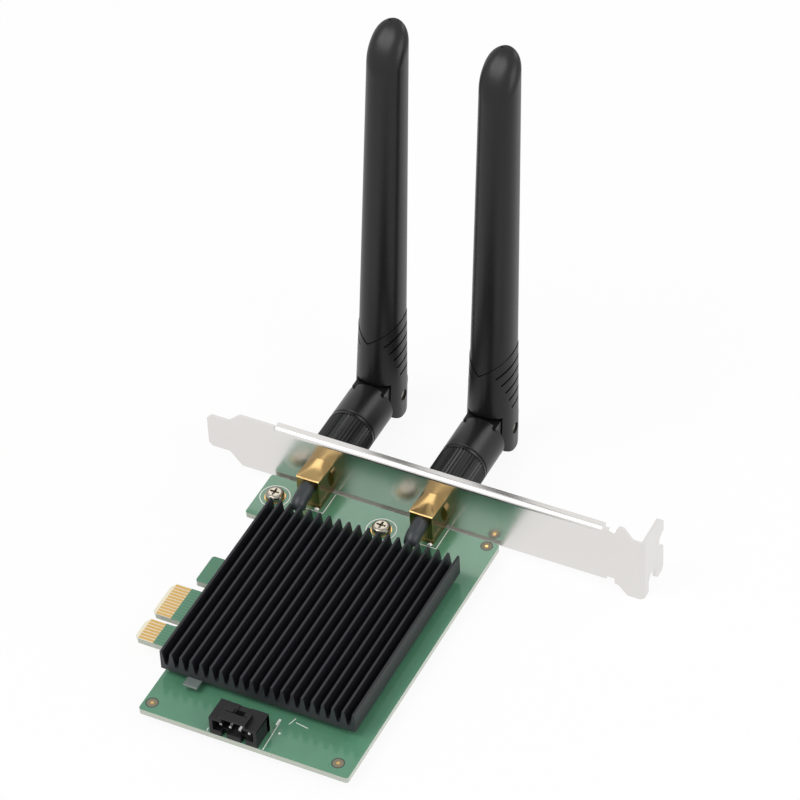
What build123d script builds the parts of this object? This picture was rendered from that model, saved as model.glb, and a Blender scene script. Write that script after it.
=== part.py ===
from build123d import *
import math
import os

os.makedirs("parts", exist_ok=True)

# All sizes are millimetres. Origin: middle of the key slot along Y, leading edge of the
# contact tongue along X, middle of the board's thickness along Z. +Y runs to the antennas.

# Board
board_thickness = 1.57
board_left = 12.4
board_front_margin = 12.4
board_right_margin = 4.0
board_corner = 0.8
board_gap = 0.7

# Contact edge of the board
key_width = 1.9
key_depth = 8.25
key_margin = 0.2
tongue_margin = 0.3
tongue_corner = 1.2
tongue_bevel_run = 1.1
tongue_bevel_drop = 0.4
contact_pitch = 1.0
contact_width = 0.7
contact_length = 4.1
contact_bevel_gap = 0.05
contact_thickness = 0.04
contacts_back = 11
contacts_front = 7

# Lobes of the board beside the tongue
lobe_edge = 4.7
lobe_slot = 2.8
lobe_slot_end = 10.4
lobe_length = 9.45
rear_lobe_length = 15.0

# Bracket, folded from one sheet
bracket_distance = 57.15
bracket_length = 120.02
bracket_height = 17.0
bracket_bottom = -0.1
sheet = 0.86
bend_radius = 0.4
slot_tongue_overhang = 13.4
slot_tongue_width = 10.19
slot_tongue_length = 6.0
slot_tongue_shoulder = 3.3
slot_tongue_chamfer = 1.0
flange_start = 19.3
flange_end = 11.1
flange_reach = 2.5
flange_drop = 0.4
screw_tab_depth = 12.29
screw_tab_height = 19.0
screw_tab_bottom = -3.7
screw_tab_corner = 2.4
screw_tab_foot = 1.0
screw_slot_width = 4.42
screw_slot_distance = 5.45
screw_slot_depth = 5.2
screw_slot_lead = 1.3
edge_notch_radius = 2.6
edge_notch_depth = 2.8
edge_notch_height = 10.7
tongue_rise = 0.45
relief_start = 10.0
relief_end = 7.8
relief_rise = 0.9
step_x = 7.7
step_drop = 0.7
ramp_start = 6.6
ramp_drop = 1.1
ramp_end = 4.2
crest_end = 3.1
crest_right = 5.5
crest_left = 6.8
crest_rise = 1.5
vee_x = 7.8
vee_drop = 0.5
vee_start = 9.1
board_ear_width = 8.0
board_ear_reach = 11.5

# Screws that hold the board to the bracket's ears
screw_left = 9.1
screw_spacing = 29.8
screw_from_bracket = 7.6
screw_radius = 1.5
screw_head_radius = 2.45
screw_head_height = 1.7
screw_head_round = 1.0
screw_overrun = 0.6
screw_hole_clearance = 0.2
thread_clearance = 0.03
recess_length = 2.5
recess_width = 0.6
recess_depth = 0.9

# Heat sink
sink_left = 12.2
sink_length = 58.1
sink_sleeve_gap = 0.58
sink_base = 1.6
fin_count = 20
fin_pitch = 2.71
fin_tip = 0.6
fin_root = 1.9
fin_height = 4.1

# Pads, radio module and chips under the heat sink
module_width = 12.0
module_length = 16.0
module_substrate = 0.6
module_left = 32.0
module_rear_gap = 13.85
shield_length = 11.4
shield_margin = 0.3
shield_height = 1.0
pad_margin = 0.5
pad_thickness = 0.5
support_left = 19.5
support_width = 3.8
support_overhang = 2.8
support_length = 9.0
chip_length = 1.0
chip_width = 0.5
chip_height = 0.5
chip_pitch = 1.6
chip_offset = 2.5
chip_row_gap = 2.0
chips_in_row = 4

# Header at the front edge
header_left = 31.8
header_width = 12.7
header_length = 6.75
header_height = 5.8
header_overhang = 0.05
header_wall = 1.0
header_depth = 5.2
latch_width = 5.0
latch_depth = 1.5
latch_slot_width = 2.2
latch_slot_depth = 2.6
corner_step = 1.5
foot_notch_width = 0.9
foot_notch_depth = 1.2
pin_pitch = 2.54
pin_count = 4
pin_size = 0.64
pin_tip_setback = 1.2
pin_tail_gap = 0.5
pin_overrun = 1.0
pin_hole_clearance = 0.18

# Antenna jacks on the board
jack_left = 18.5
jack_spacing = 31.4
jack_axis_height = 5.0
jack_width = 6.5
jack_length = 7.2
jack_front_rise = 4.2
jack_crown_rise = 4.9
jack_side_rise = 3.6
jack_edge = 0.25
jack_flange_width = 1.0
jack_flange_thickness = 0.9
barrel_radius = 3.175
barrel_length = 9.85
barrel_clearance = 0.125
socket_depth = 2.0
socket_wall = 0.85
jack_core_radius = 2.0
jack_core_start = 5.0
jack_pin_radius = 0.63
jack_tip_radius = 0.45
jack_tip_length = 1.7
core_clearance = 0.02
washer_thickness = 0.6
washer_width = 1.5
nut_thickness = 2.0
nut_wall = 0.825
nut_corner = 0.35

# Pigtail from each jack to the module
cable_radius = 0.565
cable_lift = 0.05
sleeve_wall = 1.45
sleeve_rise = 1.4
sleeve_lead = 0.5
sleeve_slope_angle = 9.8
sleeve_straight = 3.94
sleeve_bend = 2.2
sleeve_angle = 65.0
sleeve_tail = 0.3
cable_bend = 2.5
cable_turn = 2.5
cable_climb_bend = 5.0
cable_level_run = 4.5
cable_climb_start = 5.0
cable_climb_end = 1.6
snap_socket_radius = 0.75
snap_socket_height = 0.6
snap_plug_radius = 1.0
snap_plug_height = 1.1
snap_tail_length = 1.0
snap_tail_width = 1.5
snap_spacing = 7.0
snap_from_edge = 2.0

# Coupling ring and plug of each antenna
ring_gap = 0.34
ring_radius = 6.42
ring_length = 13.6
knurl_count = 44
knurl_depth = 0.25
knurl_start = 1.2
knurl_end = 0.9
edge_break = 0.2
coupling_setback = 0.3
coupling_wall = 1.3
coupling_clearance = 0.1
flange_thickness = 1.9
flange_width = 0.45
seat_gap = 0.1
chamber_clearance = 0.2
lip_thickness = 1.3
spigot_radius = 2.6
spigot_length = 6.4
spigot_clearance = 0.05
nose_clearance = 0.12
plug_core_radius = 1.5
plug_contact_radius = 0.75

# Hinged elbow of each antenna
elbow_gap = 0.2
elbow_length = 17.2
knuckle_radius = 6.5
knuckle_gap = 0.35
hinge_tongue = 9.0
hinge_side_gap = 0.3
hinge_pin_radius = 1.5
hinge_pin_clearance = 0.04
hinge_pin_recess = 0.45
elbow_edge = 0.8

# Boot and blade of each antenna, measured from the hinge axis
boot_width = 12.9
boot_flat = 0.5
boot_draft = 1.25
seam_height = 19.1
seam_apex = 1.5
seam_side_angle = 37.0
seam_back_angle = 14.0
seam_gap = 0.25
groove_count = 5
groove_pitch = 3.35
groove_height = 0.6
groove_depth = 0.4
groove_front = 4.8
groove_step = 1.05
blade_height = 110.7
blade_draft = 0.63
blade_step = 0.15
tip_rise = 13.0
tip_run_share = 0.895
tip_back_share = 0.02
tip_late_share = 0.25
tip_narrow_share = 0.77
blade_wall = 1.6
spigot_height = 4.0
spigot_side_gap = 0.15
radiator_side_gap = 0.5
radiator_thickness = 0.8
radiator_seat = 2.5
radiator_head_gap = 4.0
cavity_head = 2.0
lean_angle_left = 4.7
lean_angle_right = 5.2
toe_angle_left = 1.1
toe_angle_right = 0.0

# Places that follow from the sizes above
board_top = board_thickness / 2
board_back = bracket_distance - board_gap
first_contact = key_width / 2 + key_margin + contact_width / 2
contact_edge = contact_width / 2 + tongue_margin
tongue_back = first_contact + (contacts_back - 1) * contact_pitch + contact_edge
tongue_front = first_contact + (contacts_front - 1) * contact_pitch + contact_edge
contact_setback = tongue_bevel_run + contact_bevel_gap
lobe_front = tongue_back + lobe_slot
lobe_back = lobe_front + lobe_length
rear_lobe_front = board_back - rear_lobe_length
screw_y = bracket_distance - screw_from_bracket
screw_places = [screw_left, screw_left + screw_spacing]
jack_places = [("left", jack_left), ("right", jack_left + jack_spacing)]
jack_z = board_top + jack_axis_height
jack_front = bracket_distance - jack_length
barrel_end = bracket_distance + barrel_length
sleeve_turn = math.radians(sleeve_angle)
sleeve_slope = math.radians(sleeve_slope_angle)
bend_start = jack_front - sleeve_straight
sleeve_front = bend_start + sleeve_bend * math.sin(sleeve_slope)
sleeve_front -= (sleeve_bend + cable_radius + sleeve_wall) * math.sin(sleeve_turn)
sink_back = sleeve_front - sleeve_tail * math.cos(sleeve_turn) - sink_sleeve_gap
sink_front = sink_back - sink_length
sink_right = sink_left + (fin_count - 1) * fin_pitch + fin_tip
module_top = board_top + module_substrate
shield_top = module_top + shield_height
sink_bottom = shield_top + pad_thickness
sink_top = sink_bottom + sink_base + fin_height
board_front = sink_front - board_front_margin
board_right = sink_right + board_right_margin


def save(name, shape):
    """Write one piece to its own file."""
    export_step(shape, f"parts/{name}.step")


def slab(x0, x1, y0, y1, z0, z1):
    """A block between two opposite corners."""
    middle = Pos((x0 + x1) / 2, (y0 + y1) / 2, (z0 + z1) / 2)
    return middle * Box(x1 - x0, y1 - y0, z1 - z0)


def rod(x, z, radius, y0, y1):
    """A round bar along Y."""
    return Pos(x, (y0 + y1) / 2, z) * Rot(90, 0, 0) * Cylinder(radius, y1 - y0)


def cross_rod(y, z, radius, x0, x1):
    """A round bar along X."""
    return Pos((x0 + x1) / 2, y, z) * Rot(0, 90, 0) * Cylinder(radius, x1 - x0)


def post(x, y, radius, z0, z1):
    """A round bar along Z."""
    return Pos(x, y, (z0 + z1) / 2) * Cylinder(radius, z1 - z0)


def drafted(width, depth, corner, height, draft):
    """A rounded bar along Z that narrows evenly towards its top."""
    inset = height * math.tan(math.radians(draft))
    top = RectangleRounded(width - 2 * inset, depth - 2 * inset, corner - inset)
    return loft([RectangleRounded(width, depth, corner), Pos(0, 0, height) * top], ruled=True)


def chevron(rise, reach, low, high, front, back):
    """Return a V-shaped sheet along Y that rises to both sides of its middle plane."""
    arm = reach * rise
    outline = Polyline(
        (-reach, low + arm),
        (0, low),
        (reach, low + arm),
        (reach, high + arm),
        (0, high),
        (-reach, high + arm),
        close=True,
    )
    return extrude(front_plane(front) * make_face(outline), front - back)


def front_plane(y):
    """A plane whose own axes are X and Z, at the given Y."""
    return Plane((0, y, 0), x_dir=(1, 0, 0), z_dir=(0, -1, 0))


def side_plane(x):
    """A plane whose own axes are Y and Z, at the given X."""
    return Plane((x, 0, 0), x_dir=(0, 1, 0), z_dir=(1, 0, 0))


# Board outline, walked anticlockwise from the front of the contact tongue
board_outline = [
    (0, -tongue_front + tongue_corner),
    (tongue_corner, -tongue_front),
    (board_left, -tongue_front),
    (board_left, board_front),
    (board_right, board_front),
    (board_right, board_back),
    (lobe_edge, board_back),
    (lobe_edge, rear_lobe_front),
    (board_left, rear_lobe_front),
    (board_left, lobe_back),
    (lobe_edge, lobe_back),
    (lobe_edge, lobe_front),
    (lobe_slot_end, lobe_front),
    (lobe_slot_end, tongue_back),
    (tongue_corner, tongue_back),
    (0, tongue_back - tongue_corner),
]
rounded_corners = [
    (board_left, board_front),
    (board_right, board_front),
    (board_right, board_back),
    (lobe_edge, board_back),
    (lobe_edge, rear_lobe_front),
    (lobe_edge, lobe_back),
    (lobe_edge, lobe_front),
]
board_face = make_face(Polyline(*board_outline, close=True))
round_here = []
for vertex in board_face.vertices():
    for x, y in rounded_corners:
        if abs(vertex.X - x) + abs(vertex.Y - y) < 0.01:
            round_here.append(vertex)
board_face = fillet(round_here, board_corner)
key_end = key_depth - key_width / 2
board_face -= Pos(key_end / 2, 0) * Rectangle(key_end, key_width)
board_face -= Pos(key_end, 0) * Circle(key_width / 2)
for side in (1, -1):
    lip = side * key_width / 2
    board_face -= make_face(
        Polyline((0, lip), (tongue_corner, lip), (0, lip + side * tongue_corner), close=True)
    )
circuit_board = Pos(0, 0, -board_top) * extrude(board_face, board_thickness)
for side in (1, -1):
    bevel = Polyline(
        (0, side * board_top),
        (0, side * (board_top - tongue_bevel_drop)),
        (tongue_bevel_run, side * board_top),
        close=True,
    )
    bevel_face = front_plane(-tongue_front) * make_face(bevel)
    circuit_board -= extrude(bevel_face, -(tongue_front + tongue_back))
for x in screw_places:
    radius = screw_radius + screw_hole_clearance
    circuit_board -= post(x, screw_y, radius, -board_top, board_top)

# Contacts: a row behind the key and a row in front of it, on both faces
contact_rows = []
for index in range(contacts_back):
    contact_rows.append(first_contact + index * contact_pitch)
for index in range(contacts_front):
    contact_rows.append(-first_contact - index * contact_pitch)
contacts = []
for y in contact_rows:
    for side in (1, -1):
        z_inner = side * board_top
        z_outer = side * (board_top + contact_thickness)
        contacts.append(
            slab(
                contact_setback,
                contact_setback + contact_length,
                y - contact_width / 2,
                y + contact_width / 2,
                min(z_inner, z_outer),
                max(z_inner, z_outer),
            )
        )
save("edge_contacts", Compound(children=contacts))

# Header: a shroud open at the front with a latch window, and bent pins through the board
header_right = header_left + header_width
header_front = board_front - header_overhang
header_back = header_front + header_length
header_top = board_top + header_height
header_middle = (header_left + header_right) / 2
housing = slab(header_left, header_right, header_front, header_back, board_top, header_top)
housing -= slab(
    header_left + header_wall,
    header_right - header_wall,
    header_front,
    header_front + header_depth,
    board_top + header_wall,
    header_top - header_wall,
)
housing -= slab(
    header_middle - latch_width / 2,
    header_middle + latch_width / 2,
    header_front,
    header_front + latch_depth,
    header_top - header_wall,
    header_top,
)
housing -= slab(
    header_middle - latch_slot_width / 2,
    header_middle + latch_slot_width / 2,
    header_front,
    header_front + latch_depth + latch_slot_depth,
    header_top - header_wall,
    header_top,
)
housing -= slab(
    header_right - corner_step,
    header_right,
    header_front,
    header_front + corner_step,
    header_top - corner_step,
    header_top,
)
for side in (1, -1):
    notch_x = header_middle + side * pin_pitch
    housing -= slab(
        notch_x - foot_notch_width / 2,
        notch_x + foot_notch_width / 2,
        header_front,
        header_front + foot_notch_depth,
        board_top,
        board_top + header_wall,
    )
pin_z = board_top + header_height / 2
pin_tail_y = header_back + pin_tail_gap + pin_size / 2
pins = []
for index in range(pin_count):
    pin_x = header_middle + (index - (pin_count - 1) / 2) * pin_pitch
    pin_route = FilletPolyline(
        (header_front + pin_tip_setback, pin_z),
        (pin_tail_y, pin_z),
        (pin_tail_y, -board_top - pin_overrun),
        radius=pin_size,
    )
    pin_face = side_plane(pin_x - pin_size / 2) * trace(pin_route, pin_size)
    pins.append(extrude(pin_face, pin_size))
    pin_hole_radius = pin_size * math.sqrt(0.5) + pin_hole_clearance
    circuit_board -= post(pin_x, pin_tail_y, pin_hole_radius, -board_top, board_top)
    housing -= slab(
        pin_x - pin_size / 2,
        pin_x + pin_size / 2,
        header_front + header_depth,
        header_back,
        pin_z - pin_size / 2,
        pin_z + pin_size / 2,
    )
save("header_housing", housing)
save("header_pins", Compound(children=pins))
save("circuit_board", circuit_board)

# Bracket: flat outline with the tongue at one end and the folded screw tab at the other
tip_x = -slot_tongue_overhang
tab_outer = tip_x + bracket_length
tab_bend = tab_outer - sheet - bend_radius
bracket_top = bracket_bottom + bracket_height
flange_left = tip_x + flange_start
flange_right = tab_outer - flange_end
flange_top = bracket_top - flange_drop
flange_bend = flange_top - sheet - bend_radius
tongue_middle = bracket_bottom + bracket_height / 2 + tongue_rise
tongue_low = tongue_middle - slot_tongue_width / 2
tongue_high = tongue_middle + slot_tongue_width / 2
tongue_end = tip_x + slot_tongue_length
shoulder_end = tongue_end + slot_tongue_shoulder
tab_top = screw_tab_bottom + screw_tab_height
bracket_outline = [
    (tip_x, tongue_low + slot_tongue_chamfer),
    (tip_x + slot_tongue_chamfer, tongue_low),
    (tongue_end, tongue_low),
    (shoulder_end, bracket_bottom),
    (tab_outer - relief_start, bracket_bottom),
    (tab_outer - relief_start, bracket_bottom + relief_rise),
    (tab_outer - relief_end, bracket_bottom + relief_rise),
    (tab_outer - step_x, bracket_bottom - step_drop),
    (tab_outer - ramp_start, bracket_bottom - ramp_drop),
    (tab_outer - ramp_end, screw_tab_bottom),
    (tab_bend, screw_tab_bottom),
    (tab_bend, tab_top),
    (tab_outer - crest_end, tab_top),
    (tab_outer - crest_right, bracket_top + crest_rise),
    (tab_outer - crest_left, bracket_top + crest_rise),
    (tab_outer - vee_x, bracket_top - vee_drop),
    (tab_outer - vee_start, bracket_top),
    (flange_right, bracket_top),
    (flange_right, flange_bend),
    (flange_left, flange_bend),
    (flange_left, bracket_top),
    (shoulder_end, bracket_top),
    (tongue_end, tongue_high),
    (tip_x + slot_tongue_chamfer, tongue_high),
    (tip_x, tongue_high - slot_tongue_chamfer),
]
plate_face = make_face(Polyline(*bracket_outline, close=True))
bracket = extrude(front_plane(bracket_distance) * plate_face, -sheet)
sheet_middle = bracket_distance + sheet / 2
bend_middle = bend_radius + sheet / 2

flange_route = FilletPolyline(
    (sheet_middle, flange_bend - sheet),
    (sheet_middle, flange_top - sheet / 2),
    (bracket_distance + flange_reach, flange_top - sheet / 2),
    radius=bend_middle,
)
flange_face = side_plane(flange_left) * trace(flange_route, sheet)
bracket += extrude(flange_face, flange_right - flange_left)

ear_middle = -board_top - sheet / 2
for x in screw_places:
    ear_route = FilletPolyline(
        (sheet_middle, bracket_bottom + 2 * sheet),
        (sheet_middle, ear_middle),
        (bracket_distance - board_ear_reach, ear_middle),
        radius=bend_middle,
    )
    ear_plane = side_plane(x - board_ear_width / 2)
    bracket += extrude(ear_plane * trace(ear_route, sheet), board_ear_width)

tab_far = bracket_distance + screw_tab_depth
tab_middle = tab_outer - sheet / 2
tab_route = FilletPolyline(
    (tab_bend - sheet, sheet_middle),
    (tab_middle, sheet_middle),
    (tab_middle, tab_far),
    radius=bend_middle,
)
tab_face = Pos(0, 0, screw_tab_bottom) * trace(tab_route, sheet)
screw_tab = extrude(tab_face, screw_tab_height)
slot_y = bracket_distance + screw_slot_distance
slot_round = screw_tab_bottom + screw_slot_depth - screw_slot_width / 2
slot_face = make_face(
    Polyline(
        (slot_y - screw_slot_width / 2, screw_tab_bottom),
        (slot_y + screw_slot_width / 2, screw_tab_bottom),
        (slot_y + screw_slot_width / 2, slot_round),
        (slot_y - screw_slot_width / 2, slot_round),
        close=True,
    )
)
slot_face += Pos(slot_y, slot_round) * Circle(screw_slot_width / 2)
slot_far = slot_y + screw_slot_width / 2
slot_face += make_face(
    Polyline(
        (slot_far, screw_tab_bottom),
        (slot_far + screw_slot_lead, screw_tab_bottom),
        (slot_far, screw_tab_bottom + screw_slot_lead),
        close=True,
    )
)
notch_z = screw_tab_bottom + edge_notch_height
notch_y = tab_far + edge_notch_radius - edge_notch_depth
slot_face += Pos(notch_y, notch_z) * Circle(edge_notch_radius)
slot_face += make_face(
    Polyline(
        (tab_far - screw_tab_corner, tab_top),
        (tab_far, tab_top - screw_tab_corner),
        (tab_far, tab_top),
        close=True,
    )
)
slot_face += make_face(
    Polyline(
        (tab_far - screw_tab_foot, screw_tab_bottom),
        (tab_far, screw_tab_bottom + screw_tab_foot),
        (tab_far, screw_tab_bottom),
        close=True,
    )
)
screw_tab -= extrude(side_plane(tab_middle - sheet) * slot_face, 2 * sheet)
bracket += screw_tab
for x in screw_places:
    radius = screw_radius + thread_clearance
    bracket -= post(x, screw_y, radius, ear_middle - sheet, ear_middle + sheet)
for side_name, x in jack_places:
    radius = barrel_radius + barrel_clearance
    bracket -= rod(x, jack_z, radius, bracket_distance - sheet, bracket_distance + 2 * sheet)
save("bracket", bracket)

# Screws: pan heads with a cross recess
screws = []
for x in screw_places:
    head = Pos(0, 0, screw_head_height / 2) * Cylinder(screw_head_radius, screw_head_height)
    head = fillet(head.edges().sort_by(Axis.Z)[-1], screw_head_round)
    recess_z = screw_head_height - recess_depth / 2
    head -= Pos(0, 0, recess_z) * Box(recess_length, recess_width, recess_depth)
    head -= Pos(0, 0, recess_z) * Box(recess_width, recess_length, recess_depth)
    shank_length = board_thickness + sheet + screw_overrun
    head += Pos(0, 0, -shank_length / 2) * Cylinder(screw_radius, shank_length)
    screws.append(Pos(x, screw_y, board_top) * head)
save("bracket_screws", Compound(children=screws))

# Heat sink: one comb profile drawn out along Y
fin_foot = sink_bottom + sink_base
comb = [(sink_left, sink_bottom), (sink_right, sink_bottom), (sink_right, sink_top)]
for index in range(fin_count - 1, 0, -1):
    fin_x = sink_left + fin_tip / 2 + index * fin_pitch
    next_x = fin_x - fin_pitch
    comb.append((fin_x - fin_tip / 2, sink_top))
    comb.append((fin_x - fin_root / 2, fin_foot))
    comb.append((next_x + fin_root / 2, fin_foot))
    comb.append((next_x + fin_tip / 2, sink_top))
comb.append((sink_left, sink_top))
comb_face = front_plane(sink_front) * make_face(Polyline(*comb, close=True))
save("heat_sink", extrude(comb_face, -sink_length))

# Radio module, its shield, the pads and the chips
module_right = module_left + module_width
module_back = sink_back - module_rear_gap
module_front = module_back - module_length
save(
    "radio_module",
    slab(module_left, module_right, module_front, module_back, board_top, module_top),
)
shield_back = module_front + shield_margin + shield_length
shield = slab(
    module_left + shield_margin,
    module_right - shield_margin,
    module_front + shield_margin,
    shield_back,
    module_top,
    shield_top,
)
shield = fillet(shield.edges().filter_by(Axis.Z), 2 * shield_margin)
save("module_shield", shield)
save(
    "thermal_pad",
    slab(
        module_left + shield_margin + pad_margin,
        module_right - shield_margin - pad_margin,
        module_front + shield_margin + pad_margin,
        shield_back - pad_margin,
        shield_top,
        sink_bottom,
    ),
)
support_front = sink_front - support_overhang
save(
    "support_pad",
    slab(
        support_left,
        support_left + support_width,
        support_front,
        support_front + support_length,
        board_top,
        sink_bottom,
    ),
)
chips = []
for index in range(chips_in_row):
    chip_y = module_front + (index + 1) * chip_pitch
    for row in (0, 1):
        chip_x = module_left - chip_offset - row * chip_row_gap
        place = Pos(chip_x, chip_y, board_top + chip_height / 2)
        chips.append(place * Box(chip_length, chip_width, chip_height))
save("chip_capacitors", Compound(children=chips))

# Sizes shared by both antenna ports, along Y
washer_start = bracket_distance + sheet
nut_start = washer_start + washer_thickness
ring_start = nut_start + nut_thickness + ring_gap
ring_end = ring_start + ring_length
coupling_radius = barrel_radius + coupling_clearance + coupling_wall
flange_radius = barrel_radius + flange_width
flange_front = barrel_end + seat_gap
flange_back = flange_front + flange_thickness
chamber_front = barrel_end - chamber_clearance
chamber_back = flange_back + chamber_clearance
coupling_end = chamber_back + lip_thickness
socket_radius = barrel_radius - socket_wall
socket_floor = barrel_end - socket_depth
core_front = bracket_distance - jack_core_start
nose_radius = socket_radius - nose_clearance
elbow_start = ring_end + elbow_gap
spigot_end = elbow_start + spigot_length
pivot_y = elbow_start + elbow_length
shoulder_y = pivot_y - knuckle_radius - knuckle_gap
snap_y = module_back - snap_from_edge
snap_z = module_top + cable_lift + cable_radius
run_z = board_top + cable_lift + cable_radius
cable_z = jack_z + sleeve_rise
bend_z = cable_z - (sleeve_straight - sleeve_lead) * math.tan(sleeve_slope)

for side_name, x in jack_places:
    # Jack: block whose flat front edge rises to a round crown, and threaded barrel, in one piece
    jack_half = jack_width / 2
    front_face = Polyline(
        (x - jack_half, board_top),
        (x + jack_half, board_top),
        (x + jack_half, jack_z + jack_front_rise),
        (x - jack_half, jack_z + jack_front_rise),
        close=True,
    )
    crown = ThreePointArc(
        (x + jack_half, jack_z + jack_side_rise),
        (x, jack_z + jack_crown_rise),
        (x - jack_half, jack_z + jack_side_rise),
    )
    back_face = [
        Line((x - jack_half, board_top), (x + jack_half, board_top)),
        Line((x + jack_half, board_top), crown @ 0),
        crown,
        Line(crown @ 1, (x - jack_half, board_top)),
    ]
    block_front = front_plane(jack_front) * make_face(front_face)
    block_back = front_plane(bracket_distance) * make_face(back_face)
    block = loft([block_front, block_back], ruled=True)
    front_edges = block.faces().sort_by(Axis.Y)[0].edges()
    block = chamfer(front_edges.sort_by(Axis.Z)[1:], jack_edge)
    jack_flange_front = bracket_distance - jack_flange_thickness
    jack_flange_radius = barrel_radius + jack_flange_width
    block += rod(x, jack_z, jack_flange_radius, jack_flange_front, bracket_distance)
    block += rod(x, jack_z, barrel_radius, bracket_distance, barrel_end)
    block -= rod(x, jack_z, socket_radius, socket_floor, barrel_end)
    block -= rod(x, jack_z, jack_core_radius + core_clearance, core_front, socket_floor)
    block -= rod(x, cable_z, cable_radius + core_clearance, jack_front, core_front)
    save(f"{side_name}_jack_body", block)

    insulator = rod(x, jack_z, jack_core_radius, core_front, socket_floor)
    insulator -= rod(x, jack_z, jack_pin_radius + core_clearance, core_front, socket_floor)
    save(f"{side_name}_jack_insulator", insulator)

    jack_tip_end = socket_floor + jack_tip_length
    contact = rod(x, jack_z, jack_pin_radius, core_front, socket_floor)
    tip = rod(x, jack_z, jack_tip_radius, socket_floor, jack_tip_end)
    tip = fillet(tip.edges().sort_by(Axis.Y)[-1], 0.6 * jack_tip_radius)
    save(f"{side_name}_jack_contact", contact + tip)

    washer = rod(x, jack_z, barrel_radius + washer_width, washer_start, nut_start)
    washer -= rod(x, jack_z, barrel_radius + barrel_clearance, washer_start, nut_start)
    save(f"{side_name}_jack_washer", washer)

    nut_flat = barrel_radius + nut_wall
    nut_end = nut_start + nut_thickness
    hexagon = RegularPolygon(nut_flat, 6, major_radius=False)
    hexagon_face = front_plane(nut_start) * (Pos(x, jack_z) * hexagon)
    nut = extrude(hexagon_face, -nut_thickness)
    nut_rim = rod(x, jack_z, nut_flat + nut_corner, nut_start, nut_end)
    nut &= chamfer(nut_rim.edges().sort_by(Axis.Y)[-1], nut_corner)
    nut -= rod(x, jack_z, barrel_radius + thread_clearance, nut_start, nut_end)
    save(f"{side_name}_jack_nut", nut)

    # Pigtail: leaves the block above the barrel, dips behind the sink and runs under it to the module
    snap_x = (module_left + module_right) / 2
    if side_name == "left":
        snap_x -= snap_spacing / 2
    else:
        snap_x += snap_spacing / 2
    lead_end = jack_front - sleeve_lead
    bend_leg = sleeve_bend * math.tan((sleeve_turn - sleeve_slope) / 2)
    dip_start = bend_start - bend_leg * math.cos(sleeve_slope)
    dip_z = bend_z - bend_leg * math.sin(sleeve_slope)
    dip_drop = dip_z - run_z
    dip_end = dip_start - dip_drop / math.tan(sleeve_turn)
    snap_tail = snap_y + snap_plug_radius + snap_tail_length
    climb_start = snap_tail + cable_climb_start
    climb_end = snap_tail + cable_climb_end
    turn_y = dip_end - cable_level_run
    cable_route = FilletPolyline(
        (x, core_front, cable_z),
        (x, lead_end, cable_z),
        (x, dip_start, dip_z),
        (x, dip_end, run_z),
        (x, turn_y, run_z),
        (snap_x, climb_start, run_z),
        (snap_x, climb_end, snap_z),
        (snap_x, snap_tail, snap_z),
        radius=[sleeve_bend, sleeve_bend, cable_bend, cable_turn, cable_turn, cable_climb_bend],
    )
    cable_end = Plane((x, core_front, cable_z), x_dir=(1, 0, 0), z_dir=(0, -1, 0))
    cable = sweep(cable_end * Circle(cable_radius), path=cable_route)
    save(f"{side_name}_pigtail_cable", cable)
    print(side_name, "pigtail length", round(cable_route.length, 2))

    sleeve_bend_end = (
        x,
        bend_start - sleeve_bend * (math.sin(sleeve_turn) - math.sin(sleeve_slope)),
        bend_z - sleeve_bend * (math.cos(sleeve_slope) - math.cos(sleeve_turn)),
    )
    sleeve_mouth = (
        x,
        sleeve_bend_end[1] - sleeve_tail * math.cos(sleeve_turn),
        sleeve_bend_end[2] - sleeve_tail * math.sin(sleeve_turn),
    )
    sleeve_route = FilletPolyline(
        (x, jack_front, cable_z),
        (x, lead_end, cable_z),
        (x, dip_start, dip_z),
        sleeve_mouth,
        radius=sleeve_bend,
    )
    sleeve_plane = Plane((x, jack_front, cable_z), x_dir=(1, 0, 0), z_dir=(0, -1, 0))
    sleeve_ring = Circle(cable_radius + sleeve_wall) - Circle(cable_radius + core_clearance)
    save(f"{side_name}_pigtail_sleeve", sweep(sleeve_plane * sleeve_ring, path=sleeve_route))

    socket_top = module_top + snap_socket_height
    save(f"{side_name}_module_socket", post(snap_x, snap_y, snap_socket_radius, module_top, socket_top))
    plug_low = module_top + cable_lift
    snap_plug = post(snap_x, snap_y, snap_plug_radius, plug_low, plug_low + snap_plug_height)
    snap_plug += slab(
        snap_x - snap_tail_width / 2,
        snap_x + snap_tail_width / 2,
        snap_y,
        snap_tail,
        plug_low,
        plug_low + snap_plug_height,
    )
    snap_plug -= post(snap_x, snap_y, snap_socket_radius + core_clearance, plug_low, socket_top)
    save(f"{side_name}_pigtail_plug", snap_plug)

    # Coupling ring: knurled grip over a threaded nut with a lip that traps the plug
    knurl_points = []
    for index in range(2 * knurl_count):
        angle = math.pi * index / knurl_count
        reach = ring_radius - knurl_depth * (index % 2)
        knurl_points.append((x + reach * math.cos(angle), jack_z + reach * math.sin(angle)))
    knurl_face = make_face(Polyline(*knurl_points, close=True))
    knurl_length = ring_length - knurl_start - knurl_end
    grip = extrude(front_plane(ring_start + knurl_start) * knurl_face, -knurl_length)
    rim_radius = ring_radius - knurl_depth
    rim = rod(x, jack_z, rim_radius, ring_start, ring_start + knurl_start)
    grip += chamfer(rim.edges().sort_by(Axis.Y)[0], knurl_depth)
    collar = rod(x, jack_z, ring_radius, ring_end - knurl_end, ring_end)
    grip += chamfer(collar.edges().sort_by(Axis.Y)[-1], edge_break)
    grip -= rod(x, jack_z, coupling_radius + core_clearance, ring_start, coupling_end)
    grip -= rod(x, jack_z, spigot_radius + 2 * chamber_clearance, coupling_end, ring_end)
    save(f"{side_name}_knurled_sleeve", grip)

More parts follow.
